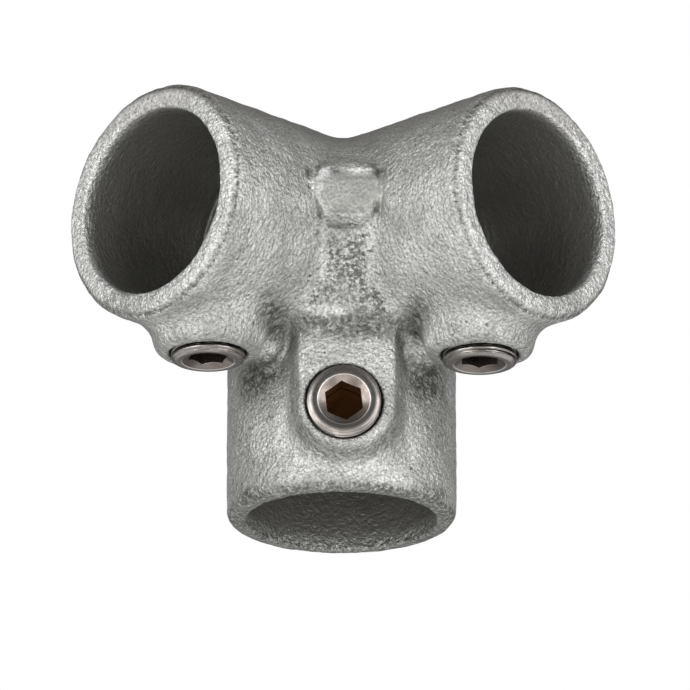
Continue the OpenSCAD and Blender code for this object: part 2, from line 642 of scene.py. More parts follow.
        # Marks: painted shade with dirt specks, painted highlights, and the pad's face
        paint(piece, "marks", at.dirt(), at.fresh(), at.pad_face())
        self.piece = piece
        return piece

    def dress(self, finish: "GalvanisedFinish") -> None:
        """Gives the casting its finish and its place in the frame."""
        self.piece.data.materials.append(finish.material())
        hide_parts("corner_casting")
        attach(self.piece, "casting")


class CastingField:
    """The casting's forms and marks at some places: distances, and shares from 0 to 1.

    The pairs of numbers say where a mark begins and where it is full, and the others how strong
    it is.

    Attributes:
        sizes: the casting.
        points: places relative to the crossing of the tube axes, one row each.
        local: distances along each tube, across it and out towards its boss.
        radius: distances from each tube's axis.
    """

    BORE_DEPTH, BORE_WALL = (0.6, 5.0), (0.6, 0.1)
    HOLE_EDGE, HOLE_LAP = (-0.05, -0.35), 3.0
    WEB_FACE, WEB_END, WEB_SIDE = (1.6, 0.2), (0.2, 1.2), (-0.8, -2.8)
    PIT_LINE, PIT_LIP, PIT_MOUTH = (1.3, 0.4), (1.1, 0.3), (2.6, 0.8)
    WEB_PITS, LIP_PITS = 0.92, 0.95
    RIM_INNER, RIM_END, RIM_FRESH = (0.0, 0.5), (2.2, 1.2), 0.42
    PAD_DEPTH, PAD_EDGE = (-1.6, -0.6), (0.5, -1.0)
    DIRT_LINE, DIRT_MOUTH, LINE_DIRT, MOUTH_DIRT = (1.2, 0.3), (2.8, 1.0), 0.5, 0.4
    BESIDE_BOSS, RIM_BAND = (0.5, 2.5), 4.0
    WALL_INNER, WALL_OUTER, WALL_TOP, WALL_DIRT = (-0.2, 0.7), (3.6, 1.8), (-2.0, 0.0), 0.55
    FLOW_BLEND = 1.5

    def __init__(self, sizes: CornerCasting, places: Array) -> None:
        """Works out the places' coordinates.

        Args:
            sizes: the casting.
            places: places in the part's frame, one row each.
        """
        self.sizes = sizes
        self.points = (places - sizes.crossing).astype(np.float32)
        self.local = {s: socket.local(self.points) for s, socket in sizes.sockets.items()}
        self.radius = {s: np.hypot(across, out) for s, (_, across, out) in self.local.items()}

    def socket(self, station: Station) -> Array:
        """Distance to a socket's outer form, a flared tube with a rounded mouth.

        Args:
            station: the socket.

        Returns:
            Distances to the form.
        """
        c, along = self.sizes, self.local[station][0]
        flare = c.rail_flare if station in RAILS else 0.0
        wall = self.radius[station] - c.outer_r(station) - flare * along / c.reach
        return np.maximum(round_meet(wall, along - c.reach, c.rim_round), -along)

    def boss(self, station: Station) -> Array:
        """Distance to a boss: a cone round the screw, which the post's boss draws out into a run.

        Args:
            station: the socket that the boss is on.

        Returns:
            Distances to the form.
        """
        c = self.sizes
        along, _, out = self.local[station]
        edge, trim = c.rail_boss_edge, 0.0
        if station is Station.POST:
            edge, trim = c.post_boss_edge, c.post_boss_trim
        face = c.boss_face(station)
        spread = (c.boss_spread + trim) / (face - c.bore_r)
        wall = self.beside_boss(station) - spread * (face - out)
        boss = round_meet(wall / math.hypot(1, spread), out - face, edge)
        return np.maximum(np.maximum(boss, -out), c.post_boss_top - c.boss_lap - along)

    def beside_boss(self, station: Station) -> Array:
        """How far each place lies outside the outline of a boss's face, seen straight on.

        Args:
            station: the socket that the boss is on.

        Returns:
            Distances from the outline.
        """
        c = self.sizes
        along, across, _ = self.local[station]
        beside, trim = along - c.screw_at, 0.0
        if station is Station.POST:
            beside, trim = np.maximum(beside, 0), c.post_boss_trim
            across = across - c.post_boss_shift * c.sockets[station].across[0]
        return np.hypot(beside, across) - c.boss_w / 2 + trim

    @cached_property
    def web_share(self) -> Array:
        """How far down the web each place lies, from 0 at its upper end to 1 at its foot."""
        c = self.sizes
        return (-c.web_top_drop - self.points[:, 2]) / (c.post_boss_top - c.web_top_drop)

    @cached_property
    def web_half(self) -> Array:
        """Half the web's width at each place's height."""
        c = self.sizes
        return c.web_top_w / 2 + (c.boss_w - c.web_top_w) / 2 * self.web_share

    @cached_property
    def beside_web(self) -> Array:
        """Distance of each place from the web's middle line."""
        return np.abs(self.points[:, 0] - self.sizes.web_shift)

    @cached_property
    def web(self) -> Array:
        """Distance to the web: two sloping sides and a sloping, dished front with rounded edges."""
        c = self.sizes
        _, y, z = self.points.T
        height = c.post_boss_top - c.web_top_drop
        top_out = c.crease + c.web_rise
        lean = c.boss_face(Station.POST) + c.web_foot_rise - top_out
        widening = (c.boss_w - c.web_top_w) / 2
        side = self.beside_web - self.web_half
        dished = 1 - np.clip(self.beside_web / (self.web_half - c.web_ridge), 0, 1) ** 2
        front = -y - top_out - lean * self.web_share + c.web_dish * dished
        web = round_meet(
            side / math.hypot(1, widening / height), front / math.hypot(1, lean / height), c.web_edge
        )
        web = round_meet(web, -z - c.post_boss_top, c.web_foot_edge)
        return np.maximum(np.maximum(web, z + c.web_top_drop - c.web_lap), y)

    @cached_property
    def pad(self) -> Array:
        """Distance to the pad: a six-sided plate with leaning sides, a facet and a bevel above."""
        c = self.sizes
        x, y, z = self.points.T
        x, z = x - c.pad_shift, z - c.pad_lift
        slant = np.array([c.pad_half_h, c.pad_corner - c.pad_top_half])
        slant /= np.linalg.norm(slant)
        side = slant[0] * (np.abs(x) - c.pad_corner) + slant[1] * np.abs(z)
        outline = round_meet(side, np.abs(z) - c.pad_half_h, c.pad_outline_round)
        face = -y - c.crease - c.pad_rise
        lean = math.tan(math.radians(c.pad_draft))
        flank = outline + np.maximum(face, -c.pad_flank) * lean
        pad = round_meet(flank / math.hypot(1, lean), face, c.pad_edge)
        facet_x, facet_z = c.pad_facet
        turn = math.radians(c.pad_facet_turn)
        upward = math.cos(turn) * (z - facet_z) - math.sin(turn) * (x - facet_x)
        for rise, tilt in ((upward, c.pad_facet_tilt), (z - c.pad_bevel, c.pad_bevel_tilt)):
            lean = math.radians(tilt)
            pad = round_meet(pad, math.sin(lean) * rise + math.cos(lean) * face, c.pad_edge)
        return np.maximum(pad, y + c.crease / 2)

    def body(self) -> Array:
        """Distance to the outer form of the three sockets and the ball behind them.

        The rails are joined first, then the post, each with a fillet that shrinks where the
        walls lie in line.

        Returns:
            Distances to the form.
        """
        c = self.sizes
        (post, left, right), radius = (self.socket(s) for s in Station), self.radius
        post_radius, left_radius, right_radius = (radius[s] for s in Station)
        left_local, right_local = (self.local[s] for s in RAILS)
        level = left_local[2] ** 2 / np.maximum(left_radius * right_radius, 1)
        rails = round_join(left, right, c.saddle_fillet * fillet_share(level))
        nearer = left < right
        across = np.where(nearer, left_local[1], right_local[1])
        rail_radius = np.where(nearer, left_radius, right_radius)
        upright = across**2 / np.maximum(post_radius * rail_radius, 1)
        body = round_join(rails, post, c.throat_fillet * fillet_share(upright))
        ball = np.linalg.norm(self.points, axis=1) - c.outer_r(Station.LEFT_RAIL) - c.corner_swell
        near = np.maximum(c.swell_blend - np.abs(body - ball), 0) / c.swell_blend
        return np.minimum(body, ball) - near**2 * c.swell_blend / 4

    def hollow(self) -> Array:
        """Distance to the room inside: the bores and the core that they meet in.

        Returns:
            Distances to the hollow.
        """
        c = self.sizes
        core_r = c.bore_r - c.stop_shoulder
        hollow = np.linalg.norm(self.points, axis=1) - core_r - c.corner_swell
        for station in Station:
            along, radius = self.local[station][0], self.radius[station]
            bore = np.maximum(radius - c.bore_r, c.tube_stop - along)
            core = np.maximum(radius - core_r, -along)
            hollow = np.minimum(hollow, np.minimum(bore, core))
        return hollow

    def hole(self, station: Station) -> Array:
        """Distance to a screw hole with its chamfered mouth.

        Args:
            station: the socket that the hole leads to.

        Returns:
            Distances to the hole.
        """
        c = self.sizes
        along, across, out = self.local[station]
        face = c.boss_face(station)
        chamfer = np.maximum(out - face + c.hole_chamfer, 0)
        wall = np.hypot(along - c.screw_at, across) - c.hole_r - chamfer
        return np.maximum(np.maximum(wall, -out), out - face - 2 * c.hole_chamfer)

    def solid(self) -> Array:
        """Distance to the whole casting, negative inside its metal.

        Returns:
            One distance for each place.
        """
        c = self.sizes
        solid = self.body()
        for station in RAILS:
            solid = round_join(solid, self.boss(station), c.boss_fillet)
        web = round_join(self.web, self.boss(Station.POST), c.overhang_fillet)
        solid = round_join(solid, web, c.web_fillet)
        solid = round_join(solid, self.pad, c.pad_fillet)
        for *centre, radius in c.knobs:
            knob = np.linalg.norm(self.points - np.array(centre, np.float32), axis=1) - radius
            solid = round_join(solid, knob, c.knob_fillet)
        solid = round_meet(solid, -self.hollow(), c.lip_round)
        for station in Station:
            solid = round_meet(solid, -self.hole(station), c.hole_edge)
        return solid

    @property
    def crown_inset(self) -> float:
        """How far the crown of a rounded rim lies in from the wall and from the mouth."""
        return self.sizes.rim_round * (1 - HALF_ROOT)

    @property
    def mouth_r(self) -> float:
        """Outer radius of a rail's mouth."""
        return self.sizes.outer_r(Station.LEFT_RAIL) + self.sizes.rail_flare

    def before(self, station: Station) -> Array:
        """Distance from each place to the plane of a socket's mouth."""
        return self.sizes.reach - self.local[station][0]

    def rim_line(self) -> Array:
        """Distance to the circle at the crown of each rail's rounded rim.

        Returns:
            Distances to the nearer of the two circles.
        """
        return np.minimum(*(
            np.hypot(self.radius[s] - self.mouth_r + self.crown_inset, self.before(s) - self.crown_inset)
            for s in RAILS
        ))

    def hidden(self) -> Array:
        """How far each place lies inside the tube bores.

        Returns:
            One share for each place.
        """
        return np.maximum.reduce([
            ramp(self.before(s), *self.BORE_DEPTH)
            * ramp(self.radius[s] - self.sizes.bore_r, *self.BORE_WALL) * (self.local[s][0] > 0)
            for s in Station
        ])

    def holes(self) -> Array:
        """How far each place lies inside a screw hole.

        Returns:
            One share for each place.
        """
        c = self.sizes
        mouth_r = c.hole_r + c.hole_chamfer
        return np.maximum.reduce([
            ramp(np.hypot(along - c.screw_at, across) - mouth_r, *self.HOLE_EDGE)
            * (out > c.bore_r - self.HOLE_LAP)
            for along, across, out in self.local.values()
        ])

    def pits(self) -> Array:
        """How thickly dark pits lie: on the web, along the rails' rim lines and at the bores' edges.

        Returns:
            One share for each place.
        """
        c = self.sizes
        web = ramp(np.abs(self.web), *self.WEB_FACE) * ramp(self.pad, *self.WEB_END)
        web *= ramp(self.beside_web - self.web_half, *self.WEB_SIDE)
        lips = [
            ramp(np.hypot(self.radius[s] - c.bore_r - c.lip_round, self.before(s)), *self.PIT_LIP)
            for s in Station
        ]
        lip = np.maximum.reduce([*lips, ramp(self.before(Station.POST), *self.PIT_MOUTH)])
        line = ramp(self.rim_line(), *self.PIT_LINE)
        return np.maximum.reduce([self.WEB_PITS * web, line, self.LIP_PITS * lip])

    def fresh(self) -> Array:
        """How strong the painted highlight is: in the bright ovals and on the rails' rims inside their
        lines.

        Returns:
            One share for each place.
        """
        inner = self.mouth_r - self.crown_inset
        rims = [
            ramp(inner - self.radius[s], *self.RIM_INNER) * ramp(self.before(s), *self.RIM_END)
            for s in RAILS
        ]
        spots = [oval.share(self.points) for oval in self.sizes.bright]
        return np.maximum.reduce([*spots, *(self.RIM_FRESH * rim for rim in rims)])

    def dirt(self) -> Array:
        """How much painted shade, broken into dirt specks, lies in the shaded ovals off the rails' bosses,
        on rims and on the post's boss.

        Returns:
            One share for each place.
        """
        c = self.sizes
        dirt = np.maximum.reduce([oval.share(self.points) for oval in c.dirty])
        for station in RAILS:
            on_rim = self.before(station) < self.RIM_BAND
            dirt = dirt * np.maximum(ramp(self.beside_boss(station), *self.BESIDE_BOSS), on_rim)
        line = self.LINE_DIRT * ramp(self.rim_line(), *self.DIRT_LINE)
        mouth = self.MOUTH_DIRT * ramp(self.before(Station.POST), *self.DIRT_MOUTH)
        # Painted shade on the side wall of the post's boss
        along, _, out = self.local[Station.POST]
        beside = self.beside_boss(Station.POST)
        side = self.WALL_DIRT * ramp(beside, *self.WALL_INNER) * ramp(beside, *self.WALL_OUTER)
        side = side * (out > c.bore_r) * ramp(along - c.post_boss_top, *self.WALL_TOP)
        return np.maximum.reduce([dirt, line, mouth, side])

    def pad_face(self) -> Array:
        """How far each place lies on the pad's smooth face.

        Returns:
            One share for each place.
        """
        c = self.sizes
        x, y, z = self.points.T
        share = ramp(-y - c.crease - c.pad_rise, *self.PAD_DEPTH)
        share *= ramp(np.abs(x - c.pad_shift) - c.pad_corner, *self.PAD_EDGE)
        return share * ramp(np.abs(z - c.pad_lift) - c.pad_half_h, *self.PAD_EDGE)

    def socket_shares(self) -> Array:
        """How much each place belongs to the left rail, the right rail and the post.

        Each share falls with the distance from that socket's wall, and the three sum to 1.

        Returns:
            Three rows of shares.
        """
        fall = np.stack([-self.socket(s) / self.FLOW_BLEND for s in (*RAILS, Station.POST)])
        weights = np.exp(fall - fall.max(axis=0))
        return weights / weights.sum(axis=0)


@dataclass
class SetScrew:
    """A hollow-hexagon set screw: a threaded side, a countersunk hexagon and a cupped tip.

    Attributes:
        station: the socket that the screw is in.
        outward: unit vector from the tip to the hexagon.
        centre: middle of the screw's box.
        radius: radius of the thread's crests.
        length: length of the screw.
    """

    # Angle of one corner of the hexagon in degrees, and where the thread starts, as a share of a turn
    TURNS: ClassVar[dict[Station, tuple[float, float]]] = {
        Station.POST: (97.0, 0.5), Station.LEFT_RAIL: (13.0, 0.94), Station.RIGHT_RAIL: (30.0, 0.68),
    }
    # Shares along the hexagon's wall and along the countersink where rings of points lie
    WALL_RINGS: ClassVar[Span] = (0.98, 0.75, 0.5, 0.25, 0.1, 0.0)
    SINK_RINGS: ClassVar[Span] = (0.04, 0.35, 0.7)
    RIGHT: ClassVar[Array] = np.array([1.0, 0.0, 0.0])
    THREAD_GROWTH: ClassVar[float] = 0.08
    # Where the painted shade in the hexagon lies: slacks round it, the bare tip, and shares of its width and
    # edge
    CORNER_SLACK, SINK_SLACK, TIP_BARE = 0.05, 0.2, 1.0
    WALL_FROM, GRIME_RISE, FOOT_EDGES = 0.9, 0.5, 1.5
    station: Station
    outward: Array
    centre: Array
    radius: float
    length: float
    pitch: float = 1.337
    thread_depth: float = 0.62
    thread_form: Span = (0.15, 0.95)
    chamfer: float = 0.95
    flat_r: float = 6.85
    dome_rings: int = 15
    across_flats: float = 8.0
    hexagon_depth: float = 5.8
    sink_r: float = 5.95
    sink_depth: float = 1.1
    cup_r: float = 5.2
    cup_depth: float = 0.9
    cup_rings: int = 6
    edge: float = 0.14
    sharp_angle: float = 17.0
    spokes: int = 180
    rings_per_turn: int = 12
    # Painted shade on the hexagon's wall and in the countersink
    wall_grime: float = 0.3
    sink_grime: float = 0.42
    # Where the painted shade in the thread's valleys begins and is full, as offsets from the crest radius
    sunk_from: Span = (-0.1, -0.4)
    piece: bpy.types.Object | None = field(default=None, repr=False)

    @classmethod
    def from_frame(cls, record: dict, station: Station) -> "SetScrew":
        """Reads a screw's place and size from the frame.

        Args:
            record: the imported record.
            station: the socket that the screw is in.

        Returns:
            A screw that fits the frame.
        """
        joints = {j["child"]: j for j in record["behaviour"]["joints"]}
        outward = -np.array(joints[station.screw]["axis"], float)
        low, high = (np.array(v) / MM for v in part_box(station.screw))
        span = high - low
        radius = float(span[0] / 2) + cls.THREAD_GROWTH
        return cls(station, outward, (low + high) / 2, radius, float(np.abs(span @ outward)))

    @property
    def hexagon_turn(self) -> float:
        """Angle of one corner of the hexagon, in radians."""
        return math.radians(self.TURNS[self.station][0])

    def angles(self) -> Array:
        """Angles of the points round the screw, with one on each corner of the hexagon."""
        return self.hexagon_turn + np.arange(self.spokes) * 2 * math.pi / self.spokes

    def thread_radius(self, angle: Array, depth: Array) -> Array:
        """Radius of the threaded side.

        The thread is a rounded V along a right-handed helix: the phase grows with the angle and
        with depth, and the radius drops by the thread's depth where the phase is half a turn.
        At both ends a quarter of an ellipse rounds the crests down to the flat end.

        Args:
            angle: angles round the screw.
            depth: distances below the outer end.

        Returns:
            Radii for the grid of depths and angles.
        """
        phase = (self.TURNS[self.station][1] + angle / (2 * math.pi) + depth / self.pitch) % 1
        valley = 1 - np.abs(2 * phase - 1)
        thread = self.radius - self.thread_depth * ramp(valley, *self.thread_form)
        end = np.minimum(depth, self.length - depth)
        left = np.clip(1 - end / self.chamfer, 0, 1)
        return np.minimum(thread, self.flat_r + (self.radius - self.flat_r) * np.sqrt(1 - left**2))

    def hexagon_radius(self, angle: Array) -> Array:
        """Radius of the hexagon's wall: half its width across flats over the cosine to the flat."""
        sector = (angle - self.hexagon_turn) % (math.pi / 3) - math.pi / 6
        return self.across_flats / 2 / np.cos(sector)

    def surface(self) -> tuple[Array, Array]:
        """Radius and depth of every ring, from the floor of the hexagon round to the cup.

        Returns:
            Two grids, one row for each ring: radii and depths below the outer end.
        """
        angle = self.angles()[None, :]
        ones = np.ones_like(angle)
        hexagon = self.hexagon_radius(angle)
        sink_w = self.sink_r - self.across_flats / 2
        brim = (self.sink_r - hexagon) * self.sink_depth / sink_w
        wall = self.hexagon_depth - 2 * self.edge - brim
        rings = [
            (0.5 * hexagon, self.hexagon_depth),
            (hexagon - self.edge, self.hexagon_depth),
            (hexagon, self.hexagon_depth - self.edge),
        ]
        rings += [(hexagon, brim + self.edge / 2 + wall * s) for s in self.WALL_RINGS]
        rings += [
            (hexagon + (self.sink_r - hexagon) * s, brim * (1 - s))
            for s in (*self.SINK_RINGS, 1 - self.edge / sink_w)
        ]
        rings += [(r, 0) for r in (self.sink_r + self.edge, self.flat_r)]
        dome = self.chamfer * (1 - np.cos(np.linspace(0, math.pi / 2, self.dome_rings + 2)[1:-1]))
        count = int(self.length / self.pitch * self.rings_per_turn)
        threaded = np.linspace(self.chamfer, self.length - self.chamfer, count)
        depth = np.concatenate([dome, threaded, self.length - dome[::-1]])[:, None]
        rings += list(zip(self.thread_radius(angle, depth), depth))
        rings += [(r, self.length) for r in (self.flat_r, self.cup_r)]
        rings += [
            (self.cup_r * math.cos(turn), self.length - self.cup_depth * math.sin(turn))
            for turn in np.linspace(0, math.pi / 2, self.cup_rings + 2)[1:-1]
        ]
        radii, depths = (np.concatenate([ring * ones for ring in part]) for part in zip(*rings))
        return radii, depths

    def wear(self, radii: Array, depths: Array) -> tuple[Array, Array, Array]:
        """Values that the finish reads at each point.

        Args:
            radii: distances from the screw's axis.
            depths: distances below the outer end.

        Returns:
            Painted shade in the hexagon and the countersink, painted shade in the thread's valleys, and the
            share of the radius.
        """
        corner_r = self.across_flats / 2 / math.cos(math.pi / 6)
        inside = (radii < corner_r + self.CORNER_SLACK) & (depths < self.length - self.TIP_BARE)
        on_wall = np.where(radii > self.WALL_FROM * self.across_flats / 2, self.wall_grime, 1.0)
        grime = inside * on_wall * ramp(depths - self.sink_depth, 0, self.GRIME_RISE)
        countersink = (radii < self.sink_r) & (depths < self.sink_depth + self.SINK_SLACK)
        grime = np.maximum(grime, self.sink_grime * countersink)
        # Painted shade in full at the hexagon's foot and over its edge
        foot = self.hexagon_depth - self.FOOT_EDGES * self.edge
        grime = np.where(inside & (depths > foot), 1.0, grime)
        sunk = ramp(radii - self.radius, *self.sunk_from) * (depths > self.chamfer) * (1 - inside)
        return grime, sunk, radii / self.radius

    def build(self) -> bpy.types.Object:
        """Builds the screw's mesh: rings of points, with a point in the middle at both ends.

        Returns:
            The finished piece.
        """
        radii, depths = self.surface()
        angle = self.angles()
        up = np.cross(self.outward, self.RIGHT)
        start = self.centre + self.outward * self.length / 2
        spokes = np.cos(angle)[:, None] * self.RIGHT + np.sin(angle)[:, None] * up
        points = start + radii[..., None] * spokes - depths[..., None] * self.outward
        middles = start - np.outer([self.hexagon_depth, self.length - self.cup_depth], self.outward)
        walls, index, after = ring_faces(*radii.shape)
        floor, tip = (np.full(radii.shape[1], radii.size + end) for end in (0, 1))
        piece = mesh_object(
            f"{self.station.value}_set_screw",
            np.concatenate([points.reshape(-1, 3), middles]),
            walls,
            np.stack([floor, index[0], after[0]], axis=-1),
            np.stack([tip, after[-1], index[-1]], axis=-1),
        )
        piece.data.set_sharp_from_angle(angle=math.radians(self.sharp_angle))
        flat_radii = np.concatenate([radii.ravel(), [0, 0]])
        flat_depths = np.concatenate([depths.ravel(), [self.hexagon_depth, self.length]])
        paint(piece, "wear", *self.wear(flat_radii, flat_depths))
        self.piece = piece
        return piece

    def dress(self, finish: "ScrewSteelFinish") -> None:
        """Gives the screw its finish and its place in the frame."""
        self.piece.data.materials.append(finish.material())
        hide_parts(self.station.screw)
        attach(self.piece, self.station.screw)


class NodeBoard:
    """Adds nodes to a node tree and links them in few words."""

    def __init__(self, tree: bpy.types.NodeTree) -> None:
        """Takes a material's, world's or group's node tree to work on."""
        self.tree = tree

    @classmethod
    def of(cls, owner: bpy.types.Material | bpy.types.World) -> "NodeBoard":
        """Empties the nodes of a material or world.

        Args:
            owner: the material or world.

        Returns:
            A board for its nodes.
        """
        owner.use_nodes = True
        owner.node_tree.nodes.clear()
        return cls(owner.node_tree)

    def add(self, kind: str, inputs: dict | None = None, **settings: object) -> bpy.types.Node:
        """Adds a node.

        Args:
            kind: the node's type name, after the word that starts them all.
            inputs: values or output sockets, by the name or number of the input they go to.
            settings: properties of the node itself.

        Returns:
            The new node.
        """
        node = self.tree.nodes.new(kind if kind.startswith("NodeGroup") else f"ShaderNode{kind}")
        for name, value in settings.items():
            setattr(node, name, value)
        for key, value in (inputs or {}).items():
            if isinstance(value, Output):
                self.tree.links.new(value, node.inputs[key])
            else:
                node.inputs[key].default_value = value
        return node

    def math(self, operation: str, *values: object) -> Output:
        """Adds a Math node and returns its output."""
        return self.add("Math", dict(enumerate(values)), operation=operation).outputs[0]

    def times(self, *values: object) -> Output:
        """Adds a Math node that multiplies and returns its output."""
        return self.math("MULTIPLY", *values)

    def most(self, *values: object) -> Output:
        """Adds a Math node that takes the larger value and returns its output."""
        return self.math("MAXIMUM", *values)

    def vector_math(self, operation: str, *values: object) -> bpy.types.Node:
        """Adds a Vector Math node."""
        return self.add("VectorMath", dict(enumerate(values)), operation=operation)

    def noise(self, vector: Output, scale: object, detail: float, roughness: float) -> Output:
        """Adds a noise texture and returns its value."""
        inputs = {"Vector": vector, "Scale": scale, "Detail": detail, "Roughness": roughness}
        return self.add("TexNoise", inputs).outputs["Fac"]

    def span(self, value: Output, low: float, high: float, start: float = 0, end: float = 1) -> Output:
        """Adds a smooth map from one range of values to another and returns its output."""
        inputs = {"Value": value, "From Min": low, "From Max": high, "To Min": start, "To Max": end}
        return self.add("MapRange", inputs, interpolation_type="SMOOTHSTEP").outputs["Result"]

    def mix(self, share: Output, first: object, second: object, blend: str = "MIX") -> Output:
        """Adds a colour mix and returns its result."""
        inputs = {0: share, 6: first, 7: second}
        return self.add("Mix", inputs, data_type="RGBA", blend_type=blend).outputs[2]

    def painted(self, name: str) -> tuple[Output, ...]:
        """Reads a painted attribute and returns its three values."""
        layer = self.add("Attribute", attribute_name=name, attribute_type="GEOMETRY")
        return tuple(self.add("SeparateColor", {"Color": layer.outputs["Color"]}).outputs)

    def where(self) -> Output:
        """Adds the Object coordinates."""
        return self.add("TexCoord").outputs["Object"]

    def bump(self, height: Output, distance: float, strength: float) -> Output:
        """Adds a bump and returns its normal."""
        inputs = {"Height": height, "Distance": distance, "Strength": strength}
        return self.add("Bump", inputs).outputs["Normal"]

    def surface(self, shader: bpy.types.Node, kind: str = "Material") -> None:
        """Makes a shader the surface of a material or world."""
        self.add(f"Output{kind}", {"Surface": shader.outputs[0]})


class SharedEffects:
    """Node groups that both finishes use, built once."""

    GRAIN_NOISE: ClassVar[Span] = (2.0, 0.55)
    COARSE_NOISE: ClassVar[Span] = (2.0, 0.5)
    FLECK_NOISE: ClassVar[Span] = (2.5, 0.6)
    PATCH_NOISE: ClassVar[Span] = (4.0, 0.55)
    COARSE_SCALE, COARSE_HEIGHT, FLECK_SCALE, FLECK_SHIFT = 0.42, 1.1, 1.35, (3.1, 1.7, 2.3)
    DIRT_BREAK, DIRT_EDGE = 1.2, (0.0, 0.35)

    def __init__(self) -> None:
        """Builds the groups."""
        self.grain_group = self._grain_group()
        self.dirt_group = self._dirt_group()

    @staticmethod
    def _start(
        name: str, inputs: dict[str, float | None], outputs: tuple[str, ...]
    ) -> tuple[NodeBoard, bpy.types.NodeOutputs]:
        """Starts a shader node group.

        Args:
            name: name of the group.
            inputs: first value of each input by name, or None for a vector.
            outputs: names of the outputs, which are values.

        Returns:
            A board for its nodes, and what the group is given, by name.
        """
        tree = bpy.data.node_groups.new(name, "ShaderNodeTree")
        for label, value in inputs.items():
            kind = "NodeSocketVector" if value is None else "NodeSocketFloat"
            socket = tree.interface.new_socket(label, in_out="INPUT", socket_type=kind)
            if value is not None:
                socket.default_value = value
        for label in outputs:
            tree.interface.new_socket(label, in_out="OUTPUT", socket_type="NodeSocketFloat")
        board = NodeBoard(tree)
        return board, board.add("NodeGroupInput").outputs

    def _grain_group(self) -> bpy.types.NodeTree:
        """A fine uneven surface: two sizes of noise as a height, and a slow change of tone.

        Returns:
            The group's tree.
        """
        board, given = self._start(
            "metal_grain",
            {"Vector": None, "Scale": 1000.0, "Patch Scale": 120.0},
            ("Height", "Fleck", "Patch"),
        )
        where, scale = given["Vector"], given["Scale"]
        fine = board.noise(where, scale, *self.GRAIN_NOISE)
        coarse = board.noise(where, board.times(scale, self.COARSE_SCALE), *self.COARSE_NOISE)
        moved = board.vector_math("ADD", where, self.FLECK_SHIFT).outputs[0]
        board.add("NodeGroupOutput", {
            "Height": board.math("MULTIPLY_ADD", coarse, self.COARSE_HEIGHT, fine),
            "Fleck": board.noise(moved, board.times(scale, self.FLECK_SCALE), *self.FLECK_NOISE),
            "Patch": board.noise(where, given["Patch Scale"], *self.PATCH_NOISE),
        })
        return board.tree

    def _dirt_group(self) -> bpy.types.NodeTree:
        """Dark that lies in hollows and breaks up into specks at its edge: dirt in the casting's pits,
        painted shade in the screws' thread valleys.

        Returns:
            The group's tree.
        """
        board, given = self._start("hollow_dirt", {"Hollow": 0.0, "Fleck": 0.5, "Amount": 1.0}, ("Mask",))
        pull = board.times(given["Hollow"], given["Amount"])
        pull = board.math("SUBTRACT", pull, 1.0)
        broken = board.math("MULTIPLY_ADD", given["Fleck"], self.DIRT_BREAK, pull)
        board.add("NodeGroupOutput", {"Mask": board.span(broken, *self.DIRT_EDGE)})
        return board.tree

    def grain(self, board: NodeBoard, where: Output, scale: float, patch_scale: float) -> tuple[Output, ...]:
        """Places the grain in a material and returns its height, its flecks and its patches."""
        inputs = {"Vector": where, "Scale": scale, "Patch Scale": patch_scale}
        return tuple(board.add("Group", inputs, node_tree=self.grain_group).outputs)

    def dirt(self, board: NodeBoard, hollow: Output, fleck: Output, amount: float) -> Output:
        """Places the mask of dark in hollows in a material and returns it; the casting uses it for dirt in
        pits, the screws for painted shade in the thread's valleys.
        """
        inputs = {"Hollow": hollow, "Fleck": fleck, "Amount": amount}
        return board.add("Group", inputs, node_tree=self.dirt_group).outputs["Mask"]


